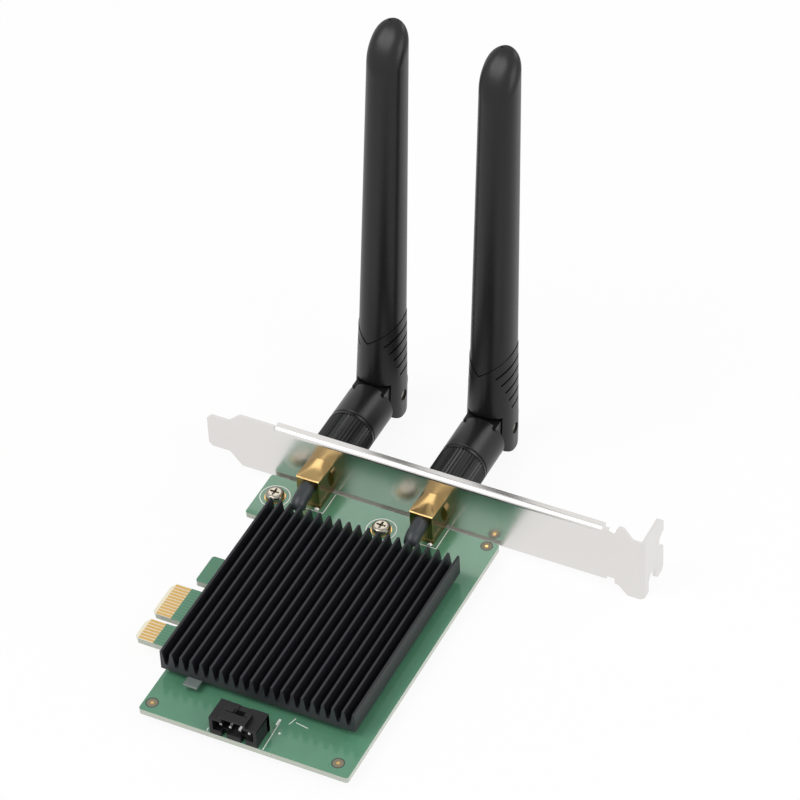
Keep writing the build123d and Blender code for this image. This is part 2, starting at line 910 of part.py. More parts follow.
    coupling_start = ring_start + coupling_setback
    coupling = rod(x, jack_z, coupling_radius, coupling_start, coupling_end)
    coupling -= rod(x, jack_z, barrel_radius + coupling_clearance, coupling_start, chamber_front)
    coupling -= rod(x, jack_z, flange_radius + chamber_clearance, chamber_front, chamber_back)
    coupling -= rod(x, jack_z, spigot_radius + chamber_clearance, chamber_back, coupling_end)
    save(f"{side_name}_coupling_nut", coupling)

    # Plug: nose in the jack's socket, flange in the ring's chamber, spigot in the elbow
    nose_front = socket_floor + chamber_clearance
    plug = rod(x, jack_z, nose_radius, nose_front, flange_front)
    plug += rod(x, jack_z, flange_radius, flange_front, flange_back)
    plug += rod(x, jack_z, spigot_radius, flange_back, spigot_end)
    plug -= rod(x, jack_z, plug_core_radius + core_clearance, nose_front, spigot_end)
    save(f"{side_name}_plug_body", plug)
    core_face = nose_front + chamber_clearance
    plug_core = rod(x, jack_z, plug_core_radius, core_face, spigot_end)
    plug_core -= rod(x, jack_z, plug_contact_radius + core_clearance, core_face, spigot_end)
    save(f"{side_name}_plug_insulator", plug_core)
    plug_contact = rod(x, jack_z, plug_contact_radius, core_face, spigot_end)
    plug_contact -= rod(
        x, jack_z, jack_tip_radius + chamber_clearance / 2, core_face, jack_tip_end + chamber_clearance
    )
    save(f"{side_name}_plug_contact", plug_contact)

    # Elbow: barrel that swivels on the spigot, flattened into a tongue round the hinge pin
    elbow = rod(x, jack_z, ring_radius, elbow_start, shoulder_y)
    elbow = chamfer(elbow.edges().filter_by(GeomType.CIRCLE).sort_by(Axis.Y)[-1], elbow_edge)
    elbow = chamfer(elbow.edges().filter_by(GeomType.CIRCLE).sort_by(Axis.Y)[0], edge_break)
    tongue_half = hinge_tongue / 2
    tongue_radius = knuckle_radius - hinge_side_gap
    elbow += slab(
        x - tongue_half,
        x + tongue_half,
        shoulder_y - elbow_edge,
        pivot_y,
        jack_z - tongue_radius + elbow_edge,
        jack_z + tongue_radius - elbow_edge,
    )
    elbow += cross_rod(pivot_y, jack_z, tongue_radius, x - tongue_half, x + tongue_half)
    bore_end = spigot_end + chamber_clearance
    elbow -= rod(x, jack_z, spigot_radius + spigot_clearance, elbow_start, bore_end)
    pin_bore = hinge_pin_radius + hinge_pin_clearance
    elbow -= cross_rod(pivot_y, jack_z, pin_bore, x - tongue_half, x + tongue_half)
    toe_angle = toe_angle_left if side_name == "left" else toe_angle_right
    plug_axis = Pos(x, 0, jack_z) * Rot(0, toe_angle, 0)
    save(f"{side_name}_elbow", plug_axis * Pos(-x, 0, -jack_z) * elbow)

    # Boot, blade and what they hold, drawn upright on the hinge axis and then leaned back
    lean_angle = lean_angle_left if side_name == "left" else lean_angle_right
    hinge = plug_axis * Pos(0, pivot_y, 0) * Rot(-lean_angle, 0, 0)
    ear_half = hinge_tongue / 2 + hinge_side_gap
    boot_depth = 2 * knuckle_radius
    boot_corner = min(boot_width, boot_depth) / 2 - boot_flat
    boot_slope = math.tan(math.radians(boot_draft))
    blade_slope = math.tan(math.radians(blade_draft))
    seam_rise = math.tan(math.radians(seam_side_angle))
    seam_fall = boot_depth / 2 * math.tan(math.radians(seam_back_angle))
    seam_low = seam_height - seam_fall
    seam_high = seam_height + (boot_width / 2 + seam_apex) * seam_rise + seam_fall
    seam_middle = (seam_low + seam_high) / 2
    seam = Pos(-seam_apex, 0, seam_height) * Rot(seam_back_angle, 0, 0)
    far = 2 * boot_depth
    boot = drafted(boot_width, boot_depth, boot_corner, seam_high, boot_draft)
    core_cut = 2 * groove_depth
    core = drafted(
        boot_width - core_cut, boot_depth - core_cut, boot_corner - groove_depth, seam_high, boot_draft
    )
    for index in range(groove_count):
        groove = Pos(0, 0, -(index + 1) * groove_pitch) * seam
        groove_y = index * groove_step - groove_front
        band = chevron(seam_rise, far, -groove_height / 2, groove_height / 2, groove_y, groove_front)
        boot -= groove * band - core
    boot -= seam * chevron(seam_rise, far, 0, far, -far, far)
    foot_face = RectangleRounded(boot_width, boot_depth, boot_corner)
    foot = Pos(0, 0, -knuckle_radius) * extrude(foot_face, knuckle_radius)
    boot += foot & cross_rod(0, 0, knuckle_radius, -boot_width / 2, boot_width / 2)
    boot -= slab(-ear_half, ear_half, -boot_depth, boot_depth, -2 * knuckle_radius, 0)
    mouth_top = tongue_radius - elbow_edge + hinge_side_gap
    boot -= slab(-ear_half, ear_half, -boot_depth, 0, 0, mouth_top)
    boot -= cross_rod(0, 0, knuckle_radius + knuckle_gap - hinge_side_gap, -ear_half, ear_half)
    boot -= cross_rod(0, 0, hinge_pin_radius + core_clearance, -boot_width / 2, boot_width / 2)

    # Blade section at the seam's lowest point, and the cavity and spigot inside it
    foot_inset = boot_slope * seam_middle + blade_step - blade_slope * (seam_middle - seam_low)
    blade_width = boot_width - 2 * foot_inset
    blade_depth = boot_depth - 2 * foot_inset
    blade_corner = boot_corner - foot_inset
    cavity_width = blade_width - 2 * blade_wall
    cavity_depth = blade_depth - 2 * blade_wall
    cavity_corner = blade_corner - blade_wall
    spigot_top = seam_high + spigot_height
    spigot_inset = blade_slope * (spigot_top - seam_low) + spigot_side_gap
    boot_spigot = RectangleRounded(
        cavity_width - 2 * spigot_inset, cavity_depth - 2 * spigot_inset, cavity_corner - spigot_inset
    )
    boot += Pos(0, 0, seam_low) * extrude(boot_spigot, spigot_top - seam_low)
    tip_start = blade_height - tip_rise
    blade_length = tip_start - seam_low
    tip_width = blade_width - 2 * blade_slope * blade_length
    tip_depth = blade_depth - 2 * blade_slope * blade_length
    tip_corner = blade_corner - blade_slope * blade_length
    cavity_top = tip_start - cavity_head
    radiator_width = tip_width - 2 * blade_wall - 2 * radiator_side_gap
    radiator_foot = spigot_top - radiator_seat
    boot -= slab(
        -radiator_width / 2,
        radiator_width / 2,
        -radiator_thickness / 2,
        radiator_thickness / 2,
        radiator_foot,
        spigot_top,
    )
    save(f"{side_name}_boot", hinge * boot)

    pin_half = boot_width / 2 - hinge_pin_recess
    save(f"{side_name}_hinge_pin", hinge * cross_rod(0, 0, hinge_pin_radius, -pin_half, pin_half))

    shell = drafted(blade_width, blade_depth, blade_corner, blade_length, blade_draft)
    blade = Pos(0, 0, seam_low) * shell
    tip_faces = []
    for step in (0.0, 0.25, 0.45, 0.62, 0.76, 0.87, 0.94, 0.98, 0.997):
        fall = 1 - math.sqrt(1 - step * step)
        late = max(0.0, (step - tip_late_share) / (1 - tip_late_share))
        late_fall = 1 - math.sqrt(1 - late * late)
        front_y = tip_depth * (tip_run_share * fall - 1 / 2)
        back_y = tip_depth * (1 / 2 - tip_back_share * late_fall)
        width = tip_width * (1 - tip_narrow_share * late_fall)
        depth = back_y - front_y
        round_share = tip_corner / min(tip_width, tip_depth)
        tip_faces.append(
            Pos(0, (front_y + back_y) / 2, tip_start + tip_rise * step)
            * RectangleRounded(width, depth, round_share * min(width, depth))
        )
    blade += loft(tip_faces)
    cavity_length = cavity_top - seam_low
    cavity = drafted(cavity_width, cavity_depth, cavity_corner, cavity_length, blade_draft)
    blade -= Pos(0, 0, seam_low) * cavity
    blade -= seam * chevron(seam_rise, far, -far, seam_gap, -far, far)
    save(f"{side_name}_blade", hinge * blade)

    radiator = slab(
        -radiator_width / 2,
        radiator_width / 2,
        -radiator_thickness / 2,
        radiator_thickness / 2,
        radiator_foot,
        cavity_top - radiator_head_gap,
    )
    save(f"{side_name}_radiator", hinge * radiator)
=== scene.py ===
"""Looks of an expansion card with two hinged antennas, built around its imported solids.

Lengths in this file are millimetres in the card's own frame. A mesh becomes metres when it is
handed over as a finished piece.
"""
import logging
import math
from dataclasses import dataclass, field
from enum import Enum

import bmesh
import bpy
from mathutils import Matrix, Vector


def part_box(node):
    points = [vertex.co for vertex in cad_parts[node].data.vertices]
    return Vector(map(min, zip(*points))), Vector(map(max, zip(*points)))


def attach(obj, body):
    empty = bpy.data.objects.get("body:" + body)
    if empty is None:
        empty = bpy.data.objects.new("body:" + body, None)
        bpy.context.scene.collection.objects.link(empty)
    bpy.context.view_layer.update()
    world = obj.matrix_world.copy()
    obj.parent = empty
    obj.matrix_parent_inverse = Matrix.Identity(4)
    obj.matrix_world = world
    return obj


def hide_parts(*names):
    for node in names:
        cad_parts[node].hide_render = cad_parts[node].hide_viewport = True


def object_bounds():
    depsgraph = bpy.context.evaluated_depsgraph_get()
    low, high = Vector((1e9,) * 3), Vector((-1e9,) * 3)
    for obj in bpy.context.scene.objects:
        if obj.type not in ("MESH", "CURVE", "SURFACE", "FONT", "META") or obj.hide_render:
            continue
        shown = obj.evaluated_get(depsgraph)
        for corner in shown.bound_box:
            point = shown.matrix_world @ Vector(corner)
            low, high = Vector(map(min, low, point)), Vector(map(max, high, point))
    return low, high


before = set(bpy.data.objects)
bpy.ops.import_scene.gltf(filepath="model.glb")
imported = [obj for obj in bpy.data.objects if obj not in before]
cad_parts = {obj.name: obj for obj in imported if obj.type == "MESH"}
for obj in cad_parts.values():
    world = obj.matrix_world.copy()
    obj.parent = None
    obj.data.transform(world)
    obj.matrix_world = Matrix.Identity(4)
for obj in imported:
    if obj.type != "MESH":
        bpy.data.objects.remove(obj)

LOG = logging.getLogger("card")
MM = 0.001
CAD_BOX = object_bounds()
Hex = str
Point = tuple[float, float, float]
Spot = tuple[float, float]
# Half the board's thickness, and the two jacks along X.
BOARD_TOP = 0.785
JACK_X = (18.5, 49.9)
# Blender's wave texture repeats every 0.314 units at scale one.
WAVE_PERIOD = 0.314
# Corners this close together, in millimetres, are one corner.
MERGE = 1e-4
# Edges sharper than this stay sharp on a smooth piece.
SHARP_ANGLE = math.radians(35)


class Face(Enum):
    """The two faces of the board that carry print and solder."""

    TOP = 1
    BOTTOM = -1


class Side(Enum):
    """The two antenna ports, by the name that starts their nodes and bodies."""

    LEFT = "left"
    RIGHT = "right"


def linear(colour: Hex) -> tuple[float, float, float, float]:
    """Turn an sRGB hex colour into linear RGBA.

    Args:
        colour: six hex digits after a hash sign.

    Returns:
        Linear red, green, blue and an alpha of one.
    """
    parts = [int(colour[place:place + 2], 16) / 255 for place in (1, 3, 5)]
    red, green, blue = (
        part / 12.92 if part <= 0.04045 else ((part + 0.055) / 1.055) ** 2.4 for part in parts
    )
    return red, green, blue, 1.0


def add_node(tree: bpy.types.NodeTree, kind: str, settings: dict | None = None,
             **inputs: object) -> bpy.types.Node:
    """Add a shader node with its settings and links.

    Args:
        tree: node tree that takes the node.
        kind: Blender's name of the node.
        settings: properties of the node.
        inputs: a value or an output socket for each input, named with _ for a space, or in_N for
            the input at place N.

    Returns:
        The new node.
    """
    node = tree.nodes.new(kind)
    for name, value in (settings or {}).items():
        setattr(node, name, value)
    for name, value in inputs.items():
        socket = node.inputs[int(name[3:]) if name.startswith("in_") else name.replace("_", " ")]
        if isinstance(value, bpy.types.NodeSocket):
            tree.links.new(value, socket)
        else:
            socket.default_value = value
    return node


@dataclass(frozen=True)
class Finish:
    """A surface: its colours, gloss, and the grain that breaks both up.

    The grain is a noise of a real size in millimetres, drawn out along one axis where the surface
    was drawn or brushed that way.
    """

    name: str
    colour: Hex
    second: Hex
    roughness: float
    roughness_spread: float
    grain: float
    relief: float
    stretch: Point = (1.0, 1.0, 1.0)
    metallic: float = 0.0
    ior: float = 1.5
    gloss: float = 0.5
    blotch: float = 6.0

    def material(self) -> bpy.types.Material:
        """Return the Blender material of this finish, made on first use."""
        made = bpy.data.materials.get(self.name)
        if made:
            return made
        made = bpy.data.materials.new(self.name)
        made.use_nodes = True
        tree = made.node_tree
        tree.nodes.clear()
        shader = add_node(
            tree, "ShaderNodeBsdfPrincipled", Metallic=self.metallic, IOR=self.ior,
            Specular_IOR_Level=self.gloss,
        )
        self.dress(tree, shader)
        add_node(tree, "ShaderNodeOutputMaterial", Surface=shader.outputs["BSDF"])
        made.diffuse_color = linear(self.colour)
        return made

    def dress(self, tree: bpy.types.NodeTree, shader: bpy.types.Node) -> None:
        """Feed the shader's colour, roughness and relief.

        Args:
            tree: node tree of the material.
            shader: its principled shader.
        """
        place = add_node(tree, "ShaderNodeTexCoord").outputs["Object"]
        drawn = add_node(tree, "ShaderNodeMapping", Vector=place, Scale=self.stretch).outputs["Vector"]
        patches = add_node(tree, "ShaderNodeTexNoise", Vector=drawn, Scale=1 / (self.blotch * MM),
                           Detail=3.0)
        grain = add_node(tree, "ShaderNodeTexNoise", Vector=drawn, Scale=1 / (self.grain * MM), Detail=2.0)
        tint = add_node(tree, "ShaderNodeMix", {"data_type": "RGBA"}, in_0=patches.outputs["Fac"],
                        in_6=linear(self.colour), in_7=linear(self.second))
        tree.links.new(tint.outputs[2], shader.inputs["Base Color"])
        rough = add_node(
            tree, "ShaderNodeMapRange", Value=grain.outputs["Fac"], From_Min=0.25, From_Max=0.75,
            To_Min=self.roughness - self.roughness_spread, To_Max=self.roughness + self.roughness_spread,
        )
        tree.links.new(rough.outputs["Result"], shader.inputs["Roughness"])
        bump = add_node(tree, "ShaderNodeBump", Height=grain.outputs["Fac"],
                        Distance=self.relief * MM, Strength=1.0)
        tree.links.new(bump.outputs["Normal"], shader.inputs["Normal"])


@dataclass(frozen=True)
class SolderMask(Finish):
    """Green lacquer on the glass laminate, bare at the sawn edges and round the edge contacts."""

    edge: Hex = "#D5D8CE"
    edge_second: Hex = "#A6AD9E"
    bare: Hex = "#F1E9CF"
    bare_end: float = 5.3
    bare_back: float = 12.6
    ply: float = 0.4

    def dress(self, tree: bpy.types.NodeTree, shader: bpy.types.Node) -> None:
        """Lay lacquer on the faces, and leave the edges and the contact area bare.

        Args:
            tree: node tree of the material.
            shader: its principled shader.
        """
        super().dress(tree, shader)
        lacquer = shader.inputs["Base Color"].links[0].from_socket
        coords = add_node(tree, "ShaderNodeTexCoord")
        place = add_node(tree, "ShaderNodeSeparateXYZ", Vector=coords.outputs["Object"])
        before = add_node(tree, "ShaderNodeMath", {"operation": "LESS_THAN"}, in_0=place.outputs["X"],
                          in_1=self.bare_end * MM)
        beside = add_node(tree, "ShaderNodeMath", {"operation": "LESS_THAN"}, in_0=place.outputs["Y"],
                          in_1=self.bare_back * MM)
        open_mask = add_node(tree, "ShaderNodeMath", {"operation": "MULTIPLY"},
                             in_0=before.outputs["Value"], in_1=beside.outputs["Value"])
        face = add_node(tree, "ShaderNodeMix", {"data_type": "RGBA"}, in_0=open_mask.outputs["Value"],
                        in_6=lacquer, in_7=linear(self.bare))
        upright = add_node(tree, "ShaderNodeSeparateXYZ", Vector=coords.outputs["Normal"])
        flat = add_node(tree, "ShaderNodeMath", {"operation": "ABSOLUTE"}, in_0=upright.outputs["Z"])
        on_face = add_node(tree, "ShaderNodeMath", {"operation": "GREATER_THAN"},
                           in_0=flat.outputs["Value"], in_1=0.5)
        plies = add_node(tree, "ShaderNodeTexWave", {"bands_direction": "Z"},
                         Vector=coords.outputs["Object"], Scale=WAVE_PERIOD / (self.ply * MM), Distortion=1.5)
        sawn = add_node(tree, "ShaderNodeMix", {"data_type": "RGBA"}, in_0=plies.outputs["Fac"],
                        in_6=linear(self.edge), in_7=linear(self.edge_second))
        whole = add_node(tree, "ShaderNodeMix", {"data_type": "RGBA"}, in_0=on_face.outputs["Value"],
                         in_6=sawn.outputs[2], in_7=face.outputs[2])
        tree.links.new(whole.outputs[2], shader.inputs["Base Color"])


@dataclass(frozen=True)
class SawnExtrusion(Finish):
    """Extruded metal whose sawn ends, which face along Y, are a lighter shade."""

    sawn: Hex = "#343338"

    def dress(self, tree: bpy.types.NodeTree, shader: bpy.types.Node) -> None:
        """Give the ends the sawn shade.

        Args:
            tree: node tree of the material.
            shader: its principled shader.
        """
        super().dress(tree, shader)
        drawn = shader.inputs["Base Color"].links[0].from_socket
        coords = add_node(tree, "ShaderNodeTexCoord")
        facing = add_node(tree, "ShaderNodeSeparateXYZ", Vector=coords.outputs["Normal"])
        along = add_node(tree, "ShaderNodeMath", {"operation": "ABSOLUTE"}, in_0=facing.outputs["Y"])
        on_end = add_node(tree, "ShaderNodeMath", {"operation": "GREATER_THAN"},
                          in_0=along.outputs["Value"], in_1=0.9)
        whole = add_node(tree, "ShaderNodeMix", {"data_type": "RGBA"}, in_0=on_end.outputs["Value"],
                         in_6=drawn, in_7=linear(self.sawn))
        tree.links.new(whole.outputs[2], shader.inputs["Base Color"])


@dataclass(frozen=True)
class Threaded(Finish):
    """Turned metal with a screw thread along Y beyond the bracket."""

    pitch: float = 0.7056
    thread_start: float = 58.9
    thread_depth: float = 0.3

    def dress(self, tree: bpy.types.NodeTree, shader: bpy.types.Node) -> None:
        """Cut the thread into the relief.

        Args:
            tree: node tree of the material.
            shader: its principled shader.
        """
        super().dress(tree, shader)
        coords = add_node(tree, "ShaderNodeTexCoord")
        place = add_node(tree, "ShaderNodeSeparateXYZ", Vector=coords.outputs["Object"])
        beyond = add_node(tree, "ShaderNodeMath", {"operation": "GREATER_THAN"}, in_0=place.outputs["Y"],
                          in_1=self.thread_start * MM)
        turns = add_node(tree, "ShaderNodeTexWave", {"bands_direction": "Y", "wave_profile": "TRI"},
                         Vector=coords.outputs["Object"], Scale=WAVE_PERIOD / (self.pitch * MM))
        cut = add_node(tree, "ShaderNodeMath", {"operation": "MULTIPLY"}, in_0=turns.outputs["Fac"],
                       in_1=beyond.outputs["Value"])
        fine = shader.inputs["Normal"].links[0].from_socket
        bump = add_node(tree, "ShaderNodeBump", Height=cut.outputs["Value"], Normal=fine,
                        Distance=self.thread_depth * MM, Strength=1.0)
        tree.links.new(bump.outputs["Normal"], shader.inputs["Normal"])


# Liquid photo-imaged solder mask: smooth hard lacquer, so a clear mirror sheen over mid green.
MASK = SolderMask("solder_mask_on_glass_laminate", "#52866A", "#5C9173", 0.14, 0.03, 0.9, 0.004, ior=1.52)
# Mask over a copper track: the same lacquer, lighter because the copper shows through.
TRACK_MASK = Finish("solder_mask_on_copper", "#6AA283", "#5F9878", 0.14, 0.03, 0.8, 0.002, ior=1.52)
# Hard gold on nickel, worn a little by a socket: warm, bright, faintly streaked along X.
CONTACT_GOLD = Finish("hard_gold_plate", "#DDB878", "#D0A866", 0.3, 0.06, 0.25, 0.002,
                      (0.15, 1.0, 1.0), 1.0)
# Gold flash on turned brass: a soft mirror, pale tan, with fine turning marks and a cut thread.
JACK_GOLD = Threaded("gold_plated_brass", "#AF9567", "#9F8455", 0.2, 0.04, 0.3, 0.002, metallic=1.0)
# Turned brass, unplated: duller and yellower.
BRASS = Finish("turned_brass", "#C9A25A", "#B88F48", 0.28, 0.05, 0.2, 0.002, (1.0, 4.0, 1.0), 1.0)
# Nickel on cold rolled steel sheet: a blurred mirror with a faint rolling grain along the length.
NICKEL = Finish("nickel_plated_steel_sheet", "#E4E2DF", "#DEDBD9", 0.23, 0.02, 0.5, 0.0001,
                (0.12, 1.0, 1.0), 1.0, blotch=12.0)
# Nickel on cold headed screws: grey, bright, with small dents of the header die.
SCREW_NICKEL = Finish("nickel_plated_screw_steel", "#A09B90", "#8F897E", 0.2, 0.05, 0.4, 0.004, metallic=1.0)
# Black anodised extruded aluminium: satin, with die lines along the extrusion and greyer sawn ends.
ANODISED = SawnExtrusion("black_anodised_aluminium", "#1B1B1F", "#212126", 0.4, 0.06, 0.35, 0.006,
                         (1.0, 0.04, 1.0), gloss=0.4)
# Spark eroded black ABS: deep black body, satin moulding with a fine even grain and bright rims.
ABS = Finish("black_moulded_abs", "#0F0F10", "#141415", 0.33, 0.05, 0.3, 0.003, gloss=0.36)
# Black nylon with glass fibre: dull black with a coarse mould texture.
NYLON = Finish("black_glass_filled_nylon", "#0E0E10", "#151518", 0.46, 0.06, 0.35, 0.006, gloss=0.28)
# Polyolefin heat shrink: satin rubbery blue black, slightly wrinkled along its run.
SHRINK = Finish("black_heat_shrink_polyolefin", "#1F2528", "#272D30", 0.42, 0.06, 0.8, 0.012, (1.0, 0.5, 1.0))
# Extruded fluoropolymer jacket of a thin coax: smooth grey black.
JACKET = Finish("extruded_cable_jacket", "#1B1B1C", "#222224", 0.3, 0.04, 0.4, 0.002)
# Silicone gap pad: smooth mid grey, slightly mottled by its filler.
SILICONE = Finish("filled_silicone_pad", "#6E7875", "#646E6B", 0.3, 0.06, 0.3, 0.004)
# Reflowed tin solder: bright, slightly frosted.
SOLDER = Finish("reflowed_tin_solder", "#D9D9D6", "#C4C4C0", 0.2, 0.06, 0.3, 0.006, metallic=1.0)
# Matt tin plate on pins and shield.
TIN = Finish("matt_tin_plate", "#CFCFCB", "#BDBDB8", 0.3, 0.06, 0.3, 0.003, metallic=1.0)
# White epoxy legend ink: chalky, slightly raised.
INK = Finish("white_legend_ink", "#F4F6F1", "#E6EAE2", 0.55, 0.05, 0.2, 0.003)
# Bare glass laminate where the mask is left open: brown grey, dull.
LAMINATE = Finish("bare_glass_laminate", "#857C68", "#746C5A", 0.45, 0.05, 0.6, 0.004)
# Dark mask rim round an opening.
MASK_RIM = Finish("dark_solder_mask_rim", "#3A4A40", "#33433A", 0.3, 0.04, 0.4, 0.002)
# Sintered fluoropolymer sleeve: milky white, waxy.
FLUOROPOLYMER = Finish("white_fluoropolymer", "#EFEDE8", "#E6E3DC", 0.4, 0.04, 0.4, 0.003)
# Fired ceramic of chip capacitors: tan and dull.
CERAMIC = Finish("fired_ceramic", "#A8845C", "#94734F", 0.5, 0.05, 0.2, 0.003)
# Dark mask of the small radio module.
MODULE_MASK = Finish("dark_solder_mask", "#1F3A2C", "#264534", 0.2, 0.04, 0.8, 0.003)
# Recess left by a moulding gate: dull, and painted blacker than the sleeve's plastic as painted shade in the
# pit.
GATE_PIT_WITH_PAINTED_SHADE = Finish("moulding_gate_pit_painted_shade", "#040404", "#060606", 0.7, 0.05, 0.2, 0.002, gloss=0.1)

# The finish of every solid that is shown as it is, by the end of its name.
SOLID_FINISHES: dict[str, Finish] = {
    "circuit_board": MASK, "edge_contacts": CONTACT_GOLD, "bracket": NICKEL,
    "bracket_screws": SCREW_NICKEL, "heat_sink": ANODISED, "thermal_pad": SILICONE,
    "support_pad": SILICONE, "radio_module": MODULE_MASK, "module_shield": TIN,
    "header_housing": NYLON, "header_pins": TIN, "chip_capacitors": CERAMIC,
    "jack_body": JACK_GOLD, "jack_insulator": FLUOROPOLYMER, "jack_contact": JACK_GOLD,
    "jack_washer": JACK_GOLD, "jack_nut": JACK_GOLD, "pigtail_cable": JACKET,
    "pigtail_sleeve": SHRINK, "pigtail_plug": JACK_GOLD, "module_socket": JACK_GOLD,
    "plug_body": BRASS, "plug_insulator": FLUOROPOLYMER, "plug_contact": JACK_GOLD,
    "knurled_sleeve": ABS, "coupling_nut": BRASS, "boot": ABS, "blade": ABS, "elbow": ABS,
    "hinge_pin": SCREW_NICKEL, "radiator": LAMINATE,
}


def dress_solids() -> None:
    """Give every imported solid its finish."""
    for name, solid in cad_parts.items():
        key = name.removeprefix("left_").removeprefix("right_")
        solid.data.materials.clear()
        solid.data.materials.append(SOLID_FINISHES[key].material())
        LOG.info("solid %s: %s", name, SOLID_FINISHES[key].name)


@dataclass
class Piece:
    """A new piece of the object while its mesh is being made, in millimetres."""

    name: str
    finish: Finish
    body: str
    slot: str
    mesh: bmesh.types.BMesh = field(default_factory=bmesh.new)

    def disc(self, spot: Spot, radius: float, low: float, high: float, sides: int = 32) -> None:
        """Add a low round pad with a softened rim.

        Args:
            spot: middle, X and Y.
            radius: radius of its foot.
            low: height of its underside.
            high: height of its top.
            sides: corners of the round.
        """
        place = Matrix.Translation((spot[0], spot[1], (low + high) / 2))
        bmesh.ops.create_cone(self.mesh, cap_ends=True, segments=sides, radius1=radius,
                              radius2=radius * 0.985, depth=high - low, matrix=place)

    def ring(self, spot: Spot, inner: float, outer: float, low: float, high: float,
             sides: int = 48) -> None:
        """Add a flat ring by turning its section about an upright axis.

        Args:
            spot: middle, X and Y.
            inner: inner radius.
            outer: outer radius.
            low: height of its underside.
            high: height of its top.
            sides: steps of the turn.
        """
        corners = [(inner, low), (outer, low), (outer, high), (inner, high)]
        loop = [self.mesh.verts.new((spot[0] + reach, spot[1], height)) for reach, height in corners]
        edges = [self.mesh.edges.new((loop[step], loop[(step + 1) % 4])) for step in range(4)]
        bmesh.ops.spin(self.mesh, geom=loop + edges, cent=(spot[0], spot[1], 0), axis=(0, 0, 1),
                       angle=math.tau, steps=sides, use_merge=True, use_duplicate=False)

    def bar(self, start: Spot, end: Spot, width: float, low: float, high: float) -> None:
        """Add a low straight stroke.

        Args:
            start: middle of its first end, X and Y.
            end: middle of its other end.
            width: width of the stroke.
            low: height of its underside.
            high: height of its top.
        """
        run = Vector(end) - Vector(start)
        turn = Matrix.Rotation(math.atan2(run.y, run.x), 4, "Z")
        middle = (Vector(start) + Vector(end)) / 2
        place = Matrix.Translation((middle.x, middle.y, (low + high) / 2)) @ turn
        size = Matrix.Diagonal((run.length, width, high - low, 1.0))
        bmesh.ops.create_cube(self.mesh, size=1.0, matrix=place @ size)

    def box(self, low: Point, high: Point, edge: float) -> None:
        """Add a block with softened edges.

        Args:
            low: its lowest corner.
            high: its highest corner.
            edge: width of the softened edge.
        """
        size = Vector(high) - Vector(low)
        place = Matrix.Translation((Vector(high) + Vector(low)) / 2) @ Matrix.Diagonal((*size, 1.0))
        made = bmesh.ops.create_cube(self.mesh, size=1.0, matrix=place)
        edges = list({line for vert in made["verts"] for line in vert.link_edges})
        bmesh.ops.bevel(self.mesh, geom=edges, offset=edge, offset_type="OFFSET", segments=2, profile=0.5,
                        affect="EDGES", material=-1)

    def dome(self, spot: Spot, radius: float, rise: float, foot: float) -> None:
        """Add a solder mound by turning its slumped outline.

        Args:
            spot: middle, X and Y.
            radius: radius of its foot.
            rise: height of the mound, negative when it hangs under the board.
            foot: height of the face it wets.
        """
        outline = [(1.0, 0.0), (0.78, 0.16), (0.58, 0.42), (0.42, 0.74), (0.26, 0.94), (0.0, 1.0)]
        verts = [self.mesh.verts.new((spot[0] + reach * radius, spot[1], foot + part * rise))
                 for reach, part in outline]
        edges = [self.mesh.edges.new(pair) for pair in zip(verts, verts[1:])]
        bmesh.ops.spin(self.mesh, geom=verts + edges, cent=(spot[0], spot[1], 0), axis=(0, 0, 1),
                       angle=math.tau, steps=20, use_merge=True, use_duplicate=False)

    def finish_up(self, smooth: bool = False, stands_for: tuple[str, ...] = ()) -> None:
        """Close the mesh, hand it to its body and give it its finish.

        Args:
            smooth: shade the faces smooth, apart from sharp edges.
            stands_for: solids that the piece is shown instead of.
        """
        bmesh.ops.remove_doubles(self.mesh, verts=self.mesh.verts, dist=MERGE)
        bmesh.ops.recalc_face_normals(self.mesh, faces=self.mesh.faces)
        bmesh.ops.scale(self.mesh, vec=(MM, MM, MM), verts=self.mesh.verts)
        for face in self.mesh.faces:
            face.smooth = smooth
        data = bpy.data.meshes.new(self.name)
        self.mesh.to_mesh(data)
        self.mesh.free()
        if smooth:
            data.set_sharp_from_angle(angle=SHARP_ANGLE)
        made = bpy.data.objects.new(self.name, data)
        bpy.context.scene.collection.objects.link(made)
        data.materials.append(self.finish.material())
        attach(made, self.body)
        if stands_for:
            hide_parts(*stands_for)
        LOG.info("piece %s: %d faces", self.name, len(data.polygons))


